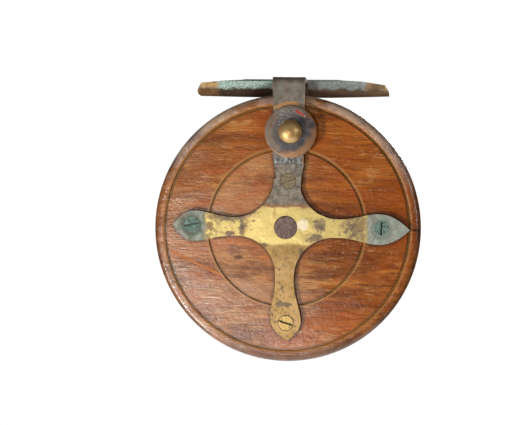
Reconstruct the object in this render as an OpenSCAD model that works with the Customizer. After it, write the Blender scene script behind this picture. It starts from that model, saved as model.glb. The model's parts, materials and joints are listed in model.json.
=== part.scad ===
// Wooden centrepin fishing reel with a brass star back, a strapped rod foot and a thumb-screw drag brake.
// Drawn about the spindle: X runs along the rod, Z points up to the foot and Y runs from the star back to the
// handles. The last step moves everything so that the origin is on the axis of the rod, above the foot.

/* [Back plate] */
// Diameter of the wooden back plate
plate_d = 127.4; // [126.4:0.2:130]
// Thickness of the back plate at its rim
plate_t = 13; // [12:0.5:14]
// Thickness of the back plate inside its recess
web_t = 7; // [6.5:0.25:7.25]
// Diameter of the recess that the drum runs in
recess_d = 114; // [113.5:0.25:115]
// Radius of the outer turned groove
outer_groove_r = 58; // [55:0.1:58.2]
// Radius of the inner turned groove
inner_groove_r = 37.1; // [34:0.1:40]

/* [Star frame] */
// Thickness of the brass star and of the foot strap
brass_t = 2.2; // [2:0.1:2.4]
// Half of the width of an arm at its narrow neck
neck_half = 4.4; // [4:0.1:5]
// Half of the width of an arm across its leaf
leaf_half = 7.2; // [6.5:0.1:8]
// Reach of the right arm
right_reach = 58.4; // [54:0.1:59]
// Reach of the left arm
left_reach = 54.3; // [53:0.1:58]
// Reach of the lower arm
lower_reach = 53.5; // [52:0.1:58]
// Radius of the hollow between two arms
hollow_r = 18.6; // [17:0.1:19]
// Distance of the arm screws from the spindle
arm_screw_r = 45.2; // [43:0.1:46]
// Height of the upper screw above the spindle
top_screw_z = 22; // [20:0.5:24]

/* [Foot] */
// Diameter of the rod that the foot fits
rod_d = 21; // [20:0.5:21]
// Height of the rod's axis above the spindle
rod_z = 78.2; // [77.8:0.2:79]
// Distance of the rod's axis in front of the back face
rod_y = 28; // [27:0.5:30]
// Length of the foot along the rod
foot_l = 95; // [86:1:100]
// Thickness of the foot
foot_t = 2.6; // [2.3:0.1:2.7]
// Half of the angle that the foot wraps round the rod
wrap = 60; // [57:1:61]
// Width of the strap
strap_w = 15.6; // [14:0.2:17]

/* [Drum] */
// Diameter of the rear flange of the drum
rear_flange_d = 112; // [110:0.5:112]
// Diameter of the front flange of the drum
front_flange_d = 122; // [116:0.5:122]
// Diameter of the core that the line winds on
core_d = 42; // [40:1:50]
// Width of the space for the line
line_w = 22; // [20:0.5:24]
// Thickness of the front flange
front_flange_t = 6.5; // [6:0.25:7]
// Diameter of the spindle in the drum
spindle_d = 8; // [7:0.5:8]

/* [Handles] */
// Distance of each handle from the spindle
handle_r = 42; // [40:0.5:44]
// Length of a handle
handle_l = 26; // [22:0.5:30]
// Largest diameter of a handle
handle_d = 16.8; // [14:0.2:18]

/* [Brake] */
// Height of the brake screw above the spindle
brake_z = 45.2; // [45:0.1:46]
// Diameter of the thumb disc
disc_d = 24.5; // [22:0.1:25]
// Diameter of the dome nut
dome_d = 11.1; // [10:0.1:12]
// Diameter of the brake screw
brake_screw_d = 4.9; // [4.5:0.1:5]

/* [Hidden] */

// Smoothness of true round faces, of turned profiles and of the star's outline
$fn = 96;
arc_steps = 8;
leaf_steps = 54;
// How far a cutting tool runs past the face that it cuts
past = 1;
// Radial clearance of a running fit, and of parts that are only pushed together
run_gap = 0.05;
slip_gap = 0.02;

// Back plate
plate_r = plate_d / 2;
recess_r = recess_d / 2;
groove_w = 1.2;
groove_depth = 0.7;
bead_start_r = outer_groove_r + groove_w / 2;
bead_round = 3.2;
// Where the bead rises from the groove: distance from its start, and depth below the face
bead_lead = [[0.1, 0.35], [0.4, 0.1], [0.9, 0]];
plate_front_round = 0.8;
crack_w = 0.55;
crack_depth = 3.2;
crack_start_r = outer_groove_r - 1;
crack_rise = 0.3;

// Star frame
neck_end = 26;
leaf_at = 44;
hollow_x = hollow_r + neck_half;
upper_neck_half = 6;
upper_hollow_x = hollow_r + upper_neck_half;
upper_widen_end = 35;
lap_z = 30.3;
lap_top_z = 52;
lap_t = 0.8;
lap_half = 5.4;
lower_lean = 2;
upper_lean = 1;
arm_screws = [
    // angle round the spindle, angle of the slot, depth of the slot
    [0.8, 88, 0.7], [179.4, 12, 0.35], [-88.7, -17, 0.7]
];
top_screw_x = 0.8;
top_screw_slot = 24;
top_slot_depth = 0.3;

// Countersunk wood screws in the star
screw_head_r = 3.45;
screw_shank_r = 1.6;
screw_len = 7.8;
slot_w = 0.8;
// Height of the straight edge of a screw's head, above its cone
head_edge = 0.3;

// Foot and strap
rod_r = rod_d / 2;
foot_r = rod_r + foot_t;
foot_corner = 2.8;
foot_corner_from = 75;
foot_flat_half = 13;
foot_waist_x = [16, 32];
foot_waist_half = [11.3, 10.75];
// The lip and the tip from the side: distance from the end, and depth below the lip or below the tip's corner
foot_lip = [[22.5, 0.4], [13.5, 0.9]];
foot_tip = [[2.2, 0], [1, 1.8], [0, 3.6]];
// The two ends of the foot differ a little, the left one first
foot_end_half = [9.7, 9.2];
foot_end_drop = [2, 2.4];
foot_end_rise = [0.8, 1.6];
strap_half = strap_w / 2;
strap_top_z = 71.8;
strap_bend_r = 3.4;
strap_bend_y = strap_bend_r - brass_t;
strap_bend_z = strap_top_z - strap_bend_r;
// The strap lies against the foot all but this angle short of its edge, then bends away from it
strap_short = 10;
strap_leave = wrap - strap_short;
leave_y = rod_y - foot_r * sin(strap_leave);
leave_z = rod_z - foot_r * cos(strap_leave);
dive_r = (strap_top_z - leave_z) / (1 - cos(strap_leave));
dive_y = leave_y - dive_r * sin(strap_leave);
dive_z = strap_top_z - dive_r;
strap_end_angle = 26;
// The curved stretches of the strap run this many degrees into their neighbours, so that they are one piece
strap_overlap = 2;
// The strap stops this far above the shoulder of the star's half-lap
lap_gap = 0.12;
rivet_r = 1.7;
rivet_x = 4.4;
rivet_head_t = 0.7;
rivet_head_r = 2.6;

// Spindle and the drum that turns on it
shoulder_r = 8;
spindle_end_r = 5.55;
spindle_proud = 0.25;
spindle_end_chamfer = 0.5;
spindle_r = spindle_d / 2;
thread_r = 3;
drum_gap = 0.5;
drum_y0 = web_t + drum_gap;
core_y0 = plate_t;
core_y1 = core_y0 + line_w;
drum_y1 = core_y1 + front_flange_t;
core_r = core_d / 2;
rear_flange_r = rear_flange_d / 2;
front_flange_r = front_flange_d / 2;
flange_round = 2.2;
rear_round = 1.2;
bush_r = 6;
bush_bore_r = spindle_r + run_gap;
bush_plate_r = 13;
rear_plate_t = 0.8;
front_plate_t = 1;
bush_y1 = drum_y1 + front_plate_t;
axial_gap = 0.1;
shim_t = 0.4;
shim_r = 7.6;
washer_y = bush_y1 + axial_gap;
washer_t = 0.8;
washer_r = 7.5;
nut_y = washer_y + washer_t;
nut_h = 6;
nut_r = 7;
nut_dome = 2.4;
nut_slot_w = 1.2;
nut_slot_depth = 1.4;
nut_flutes = 30;
nut_flute_r = 0.32;
thread_in_nut = 3.8;
thread_end_y = nut_y + thread_in_nut;
front_groove_rs = [52, 24];

// Small screws of the drum: distance from the spindle, head, shank and length
flange_screw_r = 17;
flange_screw_head_r = 3;
flange_screw_shank_r = 1.5;
flange_screw_len = 12;
flange_screw_count = 4;
flange_screw_phase = 45;
flange_screw_turn = 30;
flange_slot_depth = 0.6;
plate_screw_r = 9.6;
plate_screw_head_r = 1.6;
plate_screw_shank_r = 0.9;
plate_screw_len = 4.6;
plate_screw_count = 3;
plate_slot_depth = 0.35;
rear_plate_screw_turn = 20;
front_plate_screw_turn = 70;

// Handles
handle_plate_t = 1.5;
handle_plate_r = 7;
handle_plate_half = 5;
handle_screw_z = 8.6;
handle_screw_turn = 55;
pin_r = 2.5;
pin_root = 4.5;
pin_root_y = drum_y1 - pin_root;
plate_face_y = drum_y1 + handle_plate_t;
pin_collar_r = 4;
pin_collar_t = 1.2;
knob_gap = 0.3;
knob_y0 = plate_face_y + pin_collar_t + knob_gap;
knob_y1 = knob_y0 + handle_l;
cap_t = 1;
cap_r = 4.2;
pin_rivet_r = 2.9;
pin_rivet_h = 0.9;
pin_rivet_edge = 0.5;
pin_rivet_crown = 0.27;
cap_gap = 0.2;
cap_y = knob_y1 + cap_gap;

// Brake
brake_x = 1.5;
brake_screw_r = brake_screw_d / 2;
bush_wall = 1.5;
brake_bush_r = brake_screw_r + run_gap + bush_wall;
brake_bush_y1 = 2;
disc_lift = 0.9;
disc_t = 1.7;
disc_rim_t = 0.9;
disc_y1 = -brass_t - disc_lift;
disc_y0 = disc_y1 - disc_t;
disc_r = disc_d / 2;
bulge = disc_t - disc_rim_t;
bulge_r = (disc_r * disc_r + bulge * bulge) / (2 * bulge);
bulge_y = disc_y0 + bulge_r;
dome_h = 4.7;
dome_skirt_h = 1.5;
dome_r = dome_d / 2;
seat_depth = 0.2;
seat_y = disc_y0 + seat_depth;
dome_cap_t = 1.4;
cup_pocket_r = 6.6;
cup_r = 6.1;
cup_y0 = 2.7;
cup_t = 1.6;
cup_wall = 0.6;
leather_t = 2.5;
leather_r = cup_r - cup_wall;
cup_lip = 0.9;
tip_r = 1.7;
tip_gap = 0.12;
tip_side_gap = 0.1;
tip_len = 1.3;
cup_floor_t = 0.2;

// ---- helpers ----

function arc(cx, cy, r, a0, a1) =
    [for (i = [0:arc_steps]) let (a = a0 + (a1 - a0) * i / arc_steps) [cx + r * cos(a), cy + r * sin(a)]];

function smooth(s) = s * s * (3 - 2 * s);

// Half of an arm's width at distance t from the spindle, for an arm of the given reach
function leaf_width(t, reach) =
    t < neck_end ? neck_half
    : t < leaf_at ? neck_half + (leaf_half - neck_half) * smooth((t - neck_end) / (leaf_at - neck_end))
    : leaf_half * (1 - pow((t - leaf_at) / (reach - leaf_at), 2));

// Half of the width of the upper arm and of the strap at height z
function upper_width(z) =
    let (widening = smooth((z - hollow_x) / (upper_widen_end - hollow_x)))
    z < hollow_x ? upper_neck_half
    : z < upper_widen_end ? upper_neck_half + (strap_half - upper_neck_half) * widening
    : strap_half;

// Sideways drift of the upper arm and the strap at height z: they bow a little to one side
function upper_shift(z) = upper_lean * sin(180 * min(1, max(0, z) / strap_top_z));

// A turned solid: the profile gives radius and distance along Y
module turned(profile) {
    rotate([-90, 0, 0]) rotate_extrude() polygon(profile);
}

// A round bar along Y from y0 to y1
module bar(r, y0, y1) {
    translate([0, y0, 0]) rotate([-90, 0, 0]) cylinder(r = r, h = y1 - y0);
}

// A plate with its outline in X and Z, from y0 to y1
module plate(y0, y1) {
    translate([0, y1, 0]) rotate([90, 0, 0]) linear_extrude(y1 - y0) children();
}

// A bar with its outline in Y and Z, centred on X
module sideways(w) {
    rotate([90, 0, 90]) linear_extrude(w, center = true) children();
}

module ring_sector(r_in, r_out, a0, a1) {
    reach = 2 * r_out;
    rays = 4;
    intersection() {
        difference() {
            circle(r_out);
            circle(r_in);
        }
        polygon(concat(
            [[0, 0]], [for (i = [0:rays]) let (a = a0 + (a1 - a0) * i / rays) reach * [cos(a), sin(a)]]
        ));
    }
}

// A countersunk slotted screw that points along +Y, with the face of its head at y = 0
module slotted_screw(head_r, shank_r, len, slot_angle, slot_depth) {
    head_h = head_r - shank_r + head_edge;
    tip_h = 2 * shank_r;
    difference() {
        turned([
            [0, 0], [head_r, 0], [head_r, head_edge], [shank_r, head_h], [shank_r, len - tip_h], [0, len]
        ]);
        rotate([0, -slot_angle, 0])
            translate([-head_r - past, -past, -slot_w / 2])
                cube([2 * (head_r + past), past + slot_depth, slot_w]);
    }
}

// The hole that a countersunk screw sits in
module screw_hole(head_r, shank_r, len) {
    head_h = head_r - shank_r + head_edge;
    g = slip_gap;
    turned([
        [0, -past], [head_r + g, -past], [head_r + g, head_edge + g], [shank_r + g, head_h + g],
        [shank_r + g, len + g], [0, len + g]
    ]);
}

module at_arm_screws() {
    for (s = arm_screws)
        translate([arm_screw_r * cos(s[0]), 0, arm_screw_r * sin(s[0])]) children();
}

module ring_of(count, r, phase = 0) {
    for (i = [0:count - 1])
        rotate([0, phase + 360 * i / count, 0]) translate([r, 0, 0]) children();
}

module at_handles() {
    for (side = [-1, 1]) translate([side * handle_r, 0, 0]) children();
}

// Turns a screw drawn for the back round, so that its head faces +Y
module from_front(y) {
    translate([0, y, 0]) rotate([0, 0, 180]) children();
}

module whole() {
    translate([0, -rod_y, -rod_z]) children();
}

// ---- back ----

function groove_points(r) = [
    [r - groove_w / 2, 0], [r - groove_w / 4, groove_depth], [r + groove_w / 4, groove_depth],
    [r + groove_w / 2, 0]
];

module back_plate() {
    profile = concat(
        [[shoulder_r + slip_gap, 0]],
        groove_points(inner_groove_r),
        groove_points(outer_groove_r),
        [for (p = bead_lead) [bead_start_r + p[0], p[1]]],
        arc(plate_r - bead_round, bead_round, bead_round, -90, 0),
        arc(plate_r - plate_front_round, plate_t - plate_front_round, plate_front_round, 0, 90),
        [[recess_r, plate_t], [recess_r, web_t], [shoulder_r + slip_gap, web_t]]
    );
    color("#8a4a24")
    difference() {
        turned(profile);
        at_arm_screws() translate([0, -brass_t, 0]) screw_hole(screw_head_r, screw_shank_r, screw_len);
        translate([top_screw_x, -brass_t, top_screw_z]) screw_hole(screw_head_r, screw_shank_r, screw_len);
        translate([brake_x, 0, brake_z]) {
            bar(brake_bush_r + slip_gap, -past, brake_bush_y1);
            bar(cup_pocket_r, brake_bush_y1, web_t + past);
        }
        // A split along the grain, from the outer groove out through the rim
        plate(-past, crack_depth)
            polygon([
                [crack_start_r, crack_rise / 2], [plate_r + past, crack_w - crack_rise],
                [plate_r + past, -crack_rise]
            ]);
    }
}

module hollows(x, z) {
    for (side = [-1, 1]) translate([side * x, z]) circle(hollow_r);
}

// Sideways drift of an arm's middle at distance t, which grows to lean at the tip
function leaf_shift(t, reach, lean) = t < hollow_x ? 0 : lean * pow((t - hollow_x) / (reach - hollow_x), 2);

function leaf_edge(t, reach, lean, side) = [t, leaf_shift(t, reach, lean) + side * leaf_width(t, reach)];

// The outline of one arm along +X, out along one edge and back along the other
function leaf_points(reach, lean = 0) = concat(
    [for (i = [0:leaf_steps]) leaf_edge(reach * i / leaf_steps, reach, lean, 1)],
    [for (i = [leaf_steps - 1:-1:0]) leaf_edge(reach * i / leaf_steps, reach, lean, -1)]
);

function upper_points(z0, z1, side) = [
    for (i = [0:leaf_steps])
        let (z = z0 + (z1 - z0) * i / leaf_steps) [upper_shift(z) + side * upper_width(z), z]
];

module star_outline() {
    difference() {
        translate([-upper_hollow_x, 0]) square([2 * upper_hollow_x, hollow_x]);
        hollows(upper_hollow_x, hollow_x);
    }
    difference() {
        translate([-hollow_x, -hollow_x]) square([2 * hollow_x, hollow_x]);
        hollows(hollow_x, -hollow_x);
    }
    polygon(leaf_points(right_reach));
    rotate(180) polygon(leaf_points(left_reach));
    rotate(-90) polygon(leaf_points(lower_reach, lower_lean));
    polygon(concat(upper_points(0, lap_z, 1), upper_points(lap_z, 0, -1)));
}

module star_frame() {
    color("#c9a24c")
    difference() {
        union() {
            plate(-brass_t, 0) star_outline();
            plate(-lap_t, 0)
                translate([-lap_half, lap_z - past]) square([2 * lap_half, lap_top_z - lap_z + past]);
        }
        at_arm_screws() translate([0, -brass_t, 0]) screw_hole(screw_head_r, screw_shank_r, screw_len);
        translate([top_screw_x, -brass_t, top_screw_z]) screw_hole(screw_head_r, screw_shank_r, screw_len);
        bar(spindle_end_r + slip_gap, -brass_t - past, past);
        translate([brake_x, 0, brake_z]) bar(brake_bush_r + slip_gap, -past - brass_t, past);
    }
}

module star_screws() {
    color("#b9a15a") {
        for (s = arm_screws)
            translate([arm_screw_r * cos(s[0]), -brass_t, arm_screw_r * sin(s[0])])
                slotted_screw(screw_head_r, screw_shank_r, screw_len, s[1], s[2]);
        translate([top_screw_x, -brass_t, top_screw_z])
            slotted_screw(screw_head_r, screw_shank_r, screw_len, top_screw_slot, top_slot_depth);
    }
}

// The strap's run seen from the side: up the back, over the rim, and down under the foot
module strap_run() {
    translate([-brass_t, lap_z + lap_gap]) square([brass_t, strap_bend_z - lap_z - lap_gap]);
    translate([strap_bend_y, strap_bend_z]) ring_sector(strap_bend_r - brass_t, strap_bend_r, 90, 180);
    translate([strap_bend_y, strap_top_z - brass_t]) square([dive_y - strap_bend_y, brass_t]);
    translate([dive_y, dive_z])
        ring_sector(dive_r - brass_t, dive_r, 90 - strap_leave - strap_overlap, 90 + strap_overlap);
    translate([rod_y, rod_z])
        ring_sector(foot_r, foot_r + brass_t, -90 - strap_leave, -90 + strap_end_angle);
}

module foot_rivet_holes() {
    for (side = [-1, 1]) translate([side * rivet_x, rod_y, 0]) cylinder(r = rivet_r + slip_gap, h = rod_z);
}

module foot_strap() {
    reach_y = rod_y + foot_r + brass_t;
    cut_z = strap_top_z + past;
    color("#6e5a44")
    difference() {
        intersection() {
            sideways(strap_w) strap_run();
            plate(-brass_t - past, reach_y)
                polygon(concat(upper_points(lap_z, cut_z, 1), upper_points(cut_z, lap_z, -1)));
        }
        // The half-lap over the star's tongue
        translate([-lap_half - slip_gap, -lap_t, lap_z - past])
            cube([2 * (lap_half + slip_gap), lap_t + past, lap_top_z - lap_z + past + slip_gap]);
        translate([brake_x, 0, brake_z]) bar(brake_bush_r + slip_gap, -brass_t - past, past);
        foot_rivet_holes();
    }
}

// One end of the foot from above, along +X, with its sides narrowing towards a rounded end
function foot_end_points(end_half) =
    let (corner_x = foot_l / 2 - foot_corner, corner_y = end_half - foot_corner)
    concat(
        [[foot_waist_x[0], foot_waist_half[0]], [foot_waist_x[1], foot_waist_half[1]]],
        arc(corner_x, corner_y, foot_corner, foot_corner_from, 0)
    );

// The same points run backwards, with their signs changed
function backwards(points, sx, sy) = [
    for (i = [len(points) - 1:-1:0]) [sx * points[i][0], sy * points[i][1]]
];

module foot_plan() {
    left = foot_end_points(foot_end_half[0]);
    right = foot_end_points(foot_end_half[1]);
    mid_half = foot_r * sin(wrap) + past;
    polygon(concat(
        [[0, mid_half]], right, backwards(right, 1, -1), [[0, -mid_half]], [for (p = left) -p],
        backwards(left, -1, 1)
    ));
}

// One end of the foot from the side, along +X: down along its lip, round its tip and back along its underside
function foot_side_points(drop, rise) =
    let (half_l = foot_l / 2, lip_top = rod_z - rod_r * cos(wrap), under_z = rod_z - foot_r)
    concat(
        [for (p = foot_lip) [half_l - p[0], lip_top - p[1]]],
        [for (p = foot_tip) [half_l - p[0], lip_top - drop - p[1]]],
        [[half_l, under_z + rise], [foot_flat_half, under_z], [foot_flat_half, under_z - past]]
    );

// The side view that the foot is filed to: its lips drop and its underside rises towards both ends
module foot_side() {
    left = foot_side_points(foot_end_drop[0], foot_end_rise[0]);
    right = foot_side_points(foot_end_drop[1], foot_end_rise[1]);
    polygon(concat([[0, rod_z]], right, backwards(left, -1, 1)));
}

module foot() {
    color("#6f8f7a")
    difference() {
        intersection() {
            translate([0, rod_y, rod_z])
                rotate([90, 0, 90])
                    linear_extrude(foot_l, center = true) ring_sector(rod_r, foot_r, -90 - wrap, -90 + wrap);
            translate([0, rod_y, 0]) linear_extrude(rod_z) foot_plan();
            plate(0, rod_y + foot_r + past) foot_side();
        }
        foot_rivet_holes();
    }
}

module foot_rivets() {
    under_z = rod_z - foot_r - brass_t;
    color("#8f7340")
    difference() {
        for (side = [-1, 1]) translate([side * rivet_x, rod_y, under_z - rivet_head_t]) {
            cylinder(r = rivet_r, h = foot_t + brass_t + rivet_head_t + past);
            cylinder(r1 = rivet_head_r - rivet_head_t, r2 = rivet_head_r, h = rivet_head_t);
        }
        translate([0, rod_y, rod_z]) rotate([0, 90, 0]) cylinder(r = rod_r, h = foot_l, center = true);
    }
}

module spindle() {
    end_y = -brass_t - spindle_proud;
    color("#4a3a33")
    turned([
        [0, end_y], [spindle_end_r - spindle_end_chamfer, end_y],
        [spindle_end_r, end_y + spindle_end_chamfer], [spindle_end_r, 0], [shoulder_r, 0],
        [shoulder_r, web_t], [spindle_r, web_t], [spindle_r, washer_y], [thread_r, washer_y],
        [thread_r, thread_end_y], [0, thread_end_y]
    ]);
}

// A thin washer turned along Y
module washer(r_in, r_out, y0, y1) {
    difference() {
        bar(r_out, y0, y1);
        bar(r_in, y0 - past, y1 + past);
    }
}

module spindle_shim() {
    color("#b08d3e") washer(spindle_r + slip_gap, shim_r, web_t, web_t + shim_t);
}

module spindle_washer() {
    color("#b08d3e") washer(thread_r + slip_gap, washer_r, washer_y, washer_y + washer_t);
}

module spindle_nut() {
    top_y = nut_y + nut_h;
    side_y = top_y - nut_dome;
    dome_r = (nut_r * nut_r + nut_dome * nut_dome) / (2 * nut_dome);
    dome_a = asin(nut_r / dome_r);
    color("#c9a24c")
    difference() {
        turned(concat(
            [[0, nut_y], [nut_r, nut_y]], arc(0, top_y - dome_r, dome_r, 90 - dome_a, 90)
        ));
        bar(thread_r + slip_gap, nut_y - past, thread_end_y + slip_gap);
        translate([-nut_r - past, top_y - nut_slot_depth, -nut_slot_w / 2])
            cube([2 * (nut_r + past), nut_slot_depth + past, nut_slot_w]);
        ring_of(nut_flutes, nut_r) bar(nut_flute_r, nut_y - past, side_y);
    }
}

module brake_bush() {
    color("#b08d3e")
    translate([brake_x, 0, brake_z]) washer(brake_screw_r + run_gap, brake_bush_r, -brass_t, brake_bush_y1);
}

// ---- drum ----

module drum_rear_flange() {
    profile = concat(
        [[bush_plate_r + slip_gap, drum_y0]],
        arc(rear_flange_r - rear_round, drum_y0 + rear_round, rear_round, -90, 0),
        arc(rear_flange_r - rear_round, core_y0 - rear_round, rear_round, 0, 90),
        [[bush_r + slip_gap, core_y0], [bush_r + slip_gap, drum_y0 + rear_plate_t],
         [bush_plate_r + slip_gap, drum_y0 + rear_plate_t]]
    );
    color("#7a3f20")
    difference() {
        turned(profile);
        translate([0, drum_y0, 0])
            ring_of(flange_screw_count, flange_screw_r, flange_screw_phase)
                screw_hole(flange_screw_head_r, flange_screw_shank_r, flange_screw_len);
        translate([0, drum_y0, 0])
            ring_of(plate_screw_count, plate_screw_r)
                screw_hole(plate_screw_head_r, plate_screw_shank_r, plate_screw_len);
    }
}

module drum_core() {
    color("#8a4a24")
    difference() {
        bar(core_r, core_y0, core_y1);
        bar(bush_r + slip_gap, core_y0 - past, core_y1 + past);
        translate([0, drum_y0, 0])
            ring_of(flange_screw_count, flange_screw_r, flange_screw_phase)
                screw_hole(flange_screw_head_r, flange_screw_shank_r, flange_screw_len);
        from_front(drum_y1)
            ring_of(flange_screw_count, flange_screw_r, flange_screw_phase)
                screw_hole(flange_screw_head_r, flange_screw_shank_r, flange_screw_len);
    }
}

module drum_front_flange() {
    r = front_flange_r;
    profile = concat(
        [[bush_r + slip_gap, core_y1]],
        arc(r - rear_round, core_y1 + rear_round, rear_round, -90, 0),
        arc(r - flange_round, drum_y1 - flange_round, flange_round, 0, 90),
        [for (g = front_groove_rs) for (p = groove_points(-g)) [-p[0], drum_y1 - p[1]]],
        [[bush_r + slip_gap, drum_y1]]
    );
    color("#7a3f20")
    difference() {
        turned(profile);
        from_front(drum_y1)
            ring_of(flange_screw_count, flange_screw_r, flange_screw_phase)
                screw_hole(flange_screw_head_r, flange_screw_shank_r, flange_screw_len);
        from_front(bush_y1)
            ring_of(plate_screw_count, plate_screw_r)
                screw_hole(plate_screw_head_r, plate_screw_shank_r, plate_screw_len);
        at_handles() {
            bar(pin_r + slip_gap, pin_root_y, drum_y1 + past);
            at_plate_screws() screw_hole(plate_screw_head_r, plate_screw_shank_r, plate_screw_len);
        }
    }
}

module flange_screw() {
    slotted_screw(
        flange_screw_head_r, flange_screw_shank_r, flange_screw_len, flange_screw_turn, flange_slot_depth
    );
}

module flange_screws() {
    color("#b9a15a") {
        translate([0, drum_y0, 0])
            ring_of(flange_screw_count, flange_screw_r, flange_screw_phase) flange_screw();
        from_front(drum_y1)
            ring_of(flange_screw_count, flange_screw_r, flange_screw_phase) flange_screw();
    }
}

module drum_bush() {
    color("#b08d3e") washer(bush_bore_r, bush_r, drum_y0, bush_y1);
}

module rear_bush_plate() {
    color("#b08d3e")
    difference() {
        washer(bush_r + slip_gap, bush_plate_r, drum_y0, drum_y0 + rear_plate_t);
        translate([0, drum_y0, 0])
            ring_of(plate_screw_count, plate_screw_r)
                screw_hole(plate_screw_head_r, plate_screw_shank_r, plate_screw_len);
    }
}

module front_bush_plate() {
    edge = 0.3;
    color("#c9a24c")
    difference() {
        turned([
            [bush_r + slip_gap, drum_y1], [bush_plate_r, drum_y1], [bush_plate_r, bush_y1 - edge],
            [bush_plate_r - edge, bush_y1], [bush_r + slip_gap, bush_y1]
        ]);
        from_front(bush_y1)
            ring_of(plate_screw_count, plate_screw_r)
                screw_hole(plate_screw_head_r, plate_screw_shank_r, plate_screw_len);
    }
}

module plate_screw(turn) {
    slotted_screw(plate_screw_head_r, plate_screw_shank_r, plate_screw_len, turn, plate_slot_depth);
}

module bush_plate_screws() {
    color("#b9a15a") {
        translate([0, drum_y0, 0])
            ring_of(plate_screw_count, plate_screw_r) plate_screw(rear_plate_screw_turn);
        from_front(bush_y1)
            ring_of(plate_screw_count, plate_screw_r) plate_screw(front_plate_screw_turn);
    }
}

// ---- handles ----

// The two screws of one handle plate, heads outwards
module at_plate_screws() {
    for (side = [-1, 1]) translate([0, 0, side * handle_screw_z]) from_front(plate_face_y) children();
}

module handle_plates() {
    color("#c9a24c")
    at_handles()
        difference() {
            plate(drum_y1, plate_face_y) {
                square([2 * handle_plate_r, 2 * handle_plate_half], center = true);
                for (side = [-1, 1]) translate([0, side * handle_plate_half]) circle(handle_plate_r);
            }
            bar(pin_r + slip_gap, drum_y1 - past, plate_face_y + past);
            at_plate_screws() screw_hole(plate_screw_head_r, plate_screw_shank_r, plate_screw_len);
        }
}

module handle_plate_screws() {
    color("#b9a15a")
    at_handles()
        at_plate_screws() plate_screw(handle_screw_turn);
}

module handle_pins() {
    end_y = cap_y + cap_t;
    collar_y = plate_face_y + pin_collar_t;
    color("#55504a")
    at_handles()
        turned([
            [0, pin_root_y], [pin_r, pin_root_y], [pin_r, plate_face_y], [pin_collar_r, plate_face_y],
            [pin_collar_r, collar_y], [pin_r, collar_y], [pin_r, end_y], [pin_rivet_r, end_y],
            [pin_rivet_r - pin_rivet_edge, end_y + pin_rivet_h - pin_rivet_crown], [0, end_y + pin_rivet_h]
        ]);
}

module handle_caps() {
    color("#b08d3e") at_handles() washer(pin_r + slip_gap, cap_r, cap_y, cap_y + cap_t);
}

// A turned horn handle, slim at the root and full near its end
module handle_knob() {
    r = handle_d / 2;
    root_r = 0.74 * r;
    waist_r = 0.6 * r;
    waist_at = 0.24;
    full_at = 0.74;
    end_r = 0.66 * r;
    steps = 24;
    profile_r = [
        for (i = [0:steps])
            let (s = i / steps)
            s < waist_at ? root_r + (waist_r - root_r) * smooth(s / waist_at)
            : s < full_at ? waist_r + (r - waist_r) * smooth((s - waist_at) / (full_at - waist_at))
            : end_r + (r - end_r) * sqrt(1 - pow((s - full_at) / (1 - full_at), 2))
    ];
    turned(concat(
        [[pin_r + run_gap, knob_y0]],
        [for (i = [0:steps]) [profile_r[i], knob_y0 + handle_l * i / steps]],
        [[pin_r + run_gap, knob_y1]]
    ));
}

module handle_knob_a() {
    color("#2b2522") translate([handle_r, 0, 0]) handle_knob();
}

module handle_knob_b() {
    color("#2b2522") translate([-handle_r, 0, 0]) handle_knob();
}

// ---- brake ----

// The thumb disc is slightly domed: thinner at its rim than in its middle, with a flat seat for the nut
module brake_disc() {
    bulge_a = asin(disc_r / bulge_r);
    color("#3d4248")
    translate([brake_x, 0, brake_z])
        difference() {
            turned(concat(arc(0, bulge_y, bulge_r, -90, -90 + bulge_a), [[disc_r, disc_y1], [0, disc_y1]]));
            bar(brake_screw_r + slip_gap, disc_y0 - past, disc_y1 + past);
            bar(dome_r + slip_gap, disc_y0 - past, seat_y);
        }
}

// A capped nut that closes the end of the brake screw
module brake_dome() {
    r = dome_r;
    skirt_y = seat_y - dome_skirt_h;
    top_y = seat_y - dome_h;
    rise = skirt_y - top_y;
    crown_r = (r * r + rise * rise) / (2 * rise);
    crown_a = asin(min(1, r / crown_r));
    color("#a98a3c")
    translate([brake_x, 0, brake_z])
        difference() {
            turned(concat([[0, seat_y], [r, seat_y]], arc(0, top_y + crown_r, crown_r, crown_a - 90, -90)));
            bar(brake_screw_r + slip_gap, top_y + dome_cap_t, seat_y + past);
        }
}

module brake_screw() {
    head_y = seat_y - dome_h + dome_cap_t + axial_gap;
    shoulder_y = cup_y0 - tip_gap;
    color("#8d8578")
    translate([brake_x, 0, brake_z])
        turned([
            [0, head_y], [brake_screw_r, head_y], [brake_screw_r, shoulder_y], [tip_r, shoulder_y],
            [tip_r, shoulder_y + tip_len], [0, shoulder_y + tip_len]
        ]);
}

module brake_cup() {
    back_y = cup_y0 + cup_t;
    color("#b08d3e")
    translate([brake_x, 0, brake_z])
        difference() {
            bar(cup_r, cup_y0, back_y + cup_lip);
            bar(leather_r + slip_gap, back_y, back_y + cup_lip + past);
            bar(tip_r + tip_side_gap, cup_y0 - past, back_y - cup_floor_t);
        }
}

module brake_leather() {
    y0 = cup_y0 + cup_t;
    color("#5d3b22") translate([brake_x, 0, brake_z]) bar(leather_r, y0, y0 + leather_t);
}

whole() {
    back_plate();
    star_frame();
    star_screws();
    foot_strap();
    foot();
    foot_rivets();
    spindle();
    spindle_shim();
    spindle_washer();
    spindle_nut();
    brake_bush();
    drum_rear_flange();
    drum_core();
    drum_front_flange();
    flange_screws();
    drum_bush();
    rear_bush_plate();
    front_bush_plate();
    bush_plate_screws();
    handle_plates();
    handle_plate_screws();
    handle_pins();
    handle_caps();
    handle_knob_a();
    handle_knob_b();
    brake_disc();
    brake_dome();
    brake_screw();
    brake_cup();
    brake_leather();
}
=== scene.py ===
"""Looks for a wooden centrepin fishing reel: materials, softened edges, studio light and camera."""

import json
import math

import bpy
from mathutils import Matrix, Vector


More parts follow.
